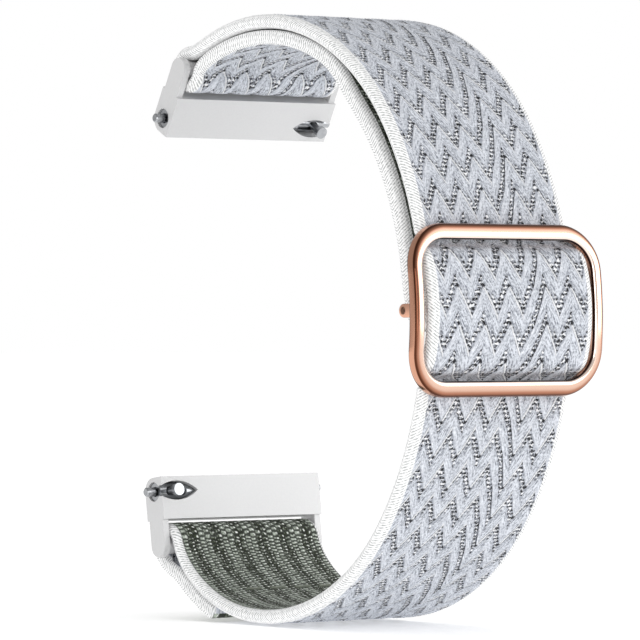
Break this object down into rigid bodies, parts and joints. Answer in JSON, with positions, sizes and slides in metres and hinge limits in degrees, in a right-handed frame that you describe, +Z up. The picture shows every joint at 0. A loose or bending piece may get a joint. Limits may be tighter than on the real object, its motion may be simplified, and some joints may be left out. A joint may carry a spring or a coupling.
{
  "type": "elastic watch band",
  "caption": "Elastic woven watch band with a sliding buckle, a chevron webbing that doubles back over its upper half, and two quick-release end links.",
  "frame": {"origin": "midway between the axes of the two spring bars, at the middle of the band's width", "axes": "+Z up from the lower link to the upper one, +X across the width, -Y towards the buckle"},
  "size_m": [0.0228, 0.0449, 0.0586],
  "materials": {
    "webbing": "woven, matt",
    "thread": "matt",
    "rose_gold": "polished",
    "link_metal": "satin",
    "bar_steel": "satin"
  },
  "bodies": {
    "band": {"webbing_lower": "webbing", "webbing_mid": "webbing", "webbing_upper": "webbing", "webbing_return": "webbing", "lower_end_seam": "thread"},
    "buckle": {"buckle_frame": "rose_gold", "buckle_crossbar": "rose_gold", "webbing_end_loop": "webbing", "end_loop_seam": "thread"},
    "link_upper": {"upper_link": "link_metal"},
    "bar_upper": {"upper_bar_tube": "bar_steel", "upper_bar_spring": "bar_steel"},
    "release_upper": {"upper_release_plunger": "bar_steel", "upper_release_knob": "bar_steel"},
    "plain_upper": {"upper_plain_plunger": "bar_steel"},
    "link_lower": {"lower_link": "link_metal"},
    "bar_lower": {"lower_bar_tube": "bar_steel", "lower_bar_spring": "bar_steel"},
    "release_lower": {"lower_release_plunger": "bar_steel", "lower_release_knob": "bar_steel"},
    "plain_lower": {"lower_plain_plunger": "bar_steel"}
  },
  "joints": [
    {"name": "buckle_slide", "type": "hinge", "parent": "band", "child": "buckle", "pos_m": [0, -0.00797, -0.00134], "axis": [-1, 0, 0], "range_deg": [-20, 18], "deforming": ["webbing_mid", "webbing_return"]},
    {"name": "upper_link_swing", "type": "hinge", "parent": "band", "child": "link_upper", "pos_m": [0, -0.00326, 0.02308], "axis": [1, 0, 0], "range_deg": [-38, 45]},
    {"name": "upper_bar_turn", "type": "hinge", "parent": "link_upper", "child": "bar_upper", "pos_m": [0, -0.00075, 0.01836], "axis": [1, 0, 0], "range_deg": [-12, 12]},
    {"name": "upper_release_slide", "type": "slide", "parent": "bar_upper", "child": "release_upper", "axis": [-1, 0, 0], "range_m": [0, 0.0015], "stiffness_N_per_m": 300, "springref_m": -0.0012, "deforming": ["upper_bar_spring"]},
    {"name": "upper_plain_slide", "type": "slide", "parent": "bar_upper", "child": "plain_upper", "axis": [1, 0, 0], "range_m": [0, 0.001], "stiffness_N_per_m": 300, "springref_m": -0.0012, "deforming": ["upper_bar_spring"]},
    {"name": "lower_link_swing", "type": "hinge", "parent": "band", "child": "link_lower", "pos_m": [0, 0.00001, -0.02366], "axis": [-1, 0, 0], "range_deg": [-30, 45]},
    {"name": "lower_bar_turn", "type": "hinge", "parent": "link_lower", "child": "bar_lower", "pos_m": [0, 0.00075, -0.01836], "axis": [-1, 0, 0], "range_deg": [-12, 12]},
    {"name": "lower_release_slide", "type": "slide", "parent": "bar_lower", "child": "release_lower", "axis": [1, 0, 0], "range_m": [0, 0.0015], "stiffness_N_per_m": 300, "springref_m": -0.0012, "deforming": ["lower_bar_spring"]},
    {"name": "lower_plain_slide", "type": "slide", "parent": "bar_lower", "child": "plain_lower", "axis": [-1, 0, 0], "range_m": [0, 0.001], "stiffness_N_per_m": 300, "springref_m": -0.0012, "deforming": ["lower_bar_spring"]}
  ]
}
